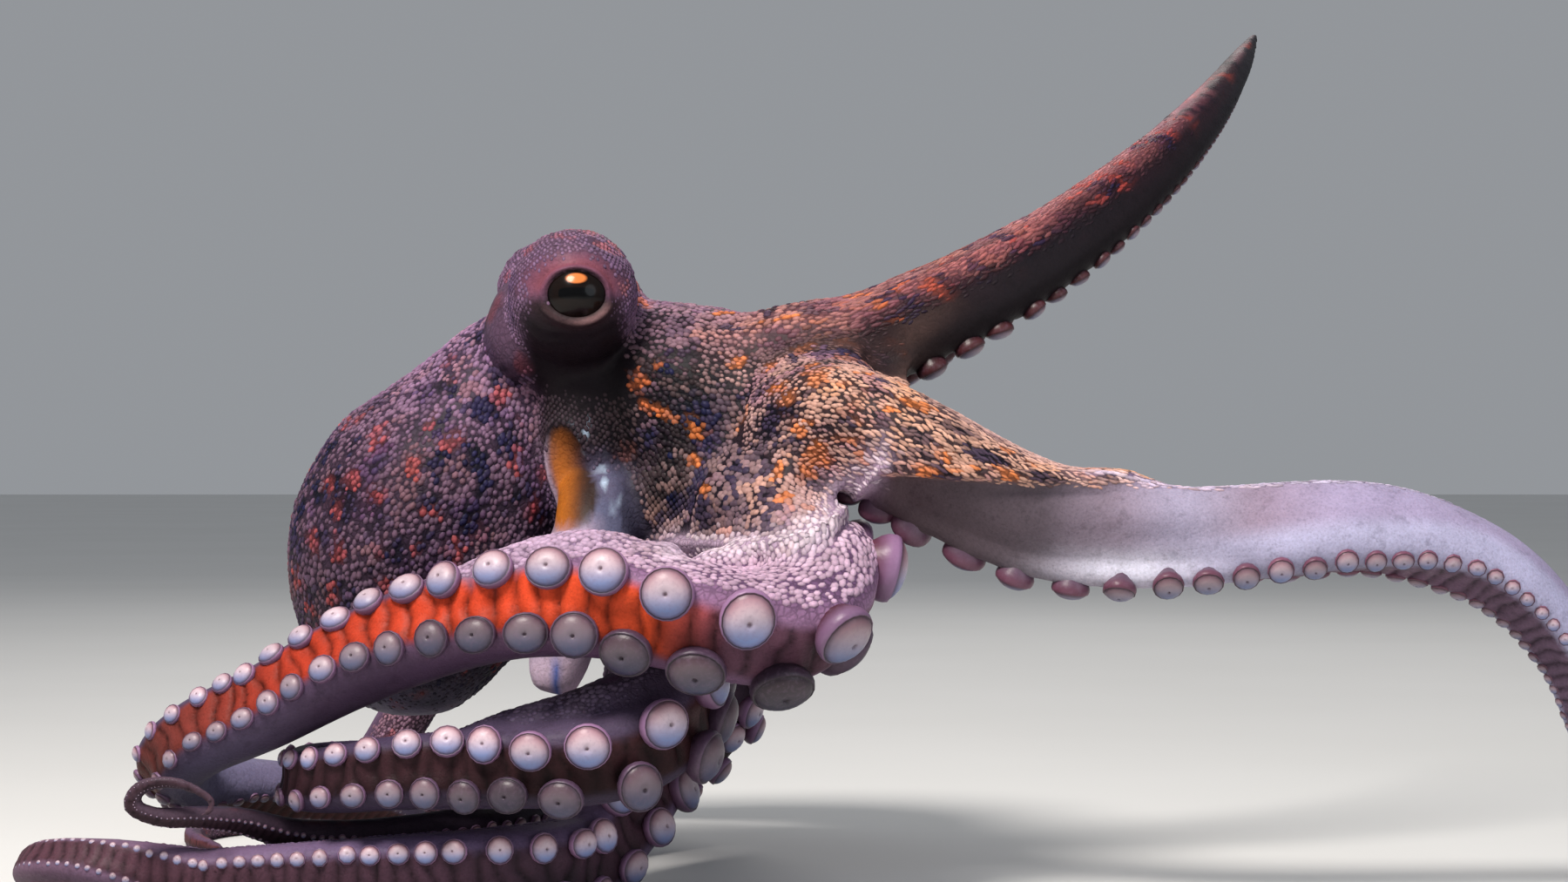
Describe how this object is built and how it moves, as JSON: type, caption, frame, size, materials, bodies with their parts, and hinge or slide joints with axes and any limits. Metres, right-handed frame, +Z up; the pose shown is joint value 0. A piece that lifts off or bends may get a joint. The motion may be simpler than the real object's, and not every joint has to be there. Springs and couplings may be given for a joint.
{
  "type": "octopus",
  "caption": "Life-size still model of a common octopus crawling on the floor, mantle hung behind its raised head, arms reaching out, folded back and curled.",
  "frame": {"origin": "on the floor, under the middle of the animal's box", "axes": "+X the way the animal faces, -Y its right side, +Z up"},
  "size_m": [0.716, 0.402, 0.3742],
  "materials": {
    "body_skin": "wet mottled skin, maroon-purple with orange spots, blue-black blotches and pale granules",
    "arm_skin": "wet skin, lavender on the sides and back, orange-red between pale blue-white suckers",
    "web_skin": "wet thin skin with a pale margin",
    "funnel_skin": "smooth pale wet skin",
    "lip": "folded wet lip",
    "eye": "clear wet eye with a bronze iris and a black slot pupil",
    "beak": "dark horn"
  },
  "bodies": {
    "root": {"eye_right": "eye", "eye_left": "eye", "head": "body_skin", "funnel": "funnel_skin", "mantle": "body_skin", "beak": "beak", "mouth_lip": "lip", "crown": "body_skin", "arm_r1_base": "arm_skin", "arm_r1_middle": "arm_skin", "arm_r1_tip": "arm_skin", "arm_r2_base": "arm_skin", "arm_r2_middle": "arm_skin", "arm_r2_tip": "arm_skin", "arm_r3_base": "arm_skin", "arm_r3_middle": "arm_skin", "arm_r3_tip": "arm_skin", "arm_r4_base": "arm_skin", "arm_r4_middle": "arm_skin", "arm_r4_tip": "arm_skin", "arm_l4_base": "arm_skin", "arm_l4_middle": "arm_skin", "arm_l4_tip": "arm_skin", "arm_l3_base": "arm_skin", "arm_l3_middle": "arm_skin", "arm_l3_tip": "arm_skin", "arm_l2_base": "arm_skin", "arm_l2_middle": "arm_skin", "arm_l2_tip": "arm_skin", "arm_l1_base": "arm_skin", "arm_l1_middle": "arm_skin", "arm_l1_tip": "arm_skin", "web_r1_r2": "web_skin", "web_r2_r3": "web_skin", "web_r3_r4": "web_skin", "web_r4_l4": "web_skin", "web_l4_l3": "web_skin", "web_l3_l2": "web_skin", "web_l2_l1": "web_skin", "web_l1_r1": "web_skin"}
  },
  "joints": []
}
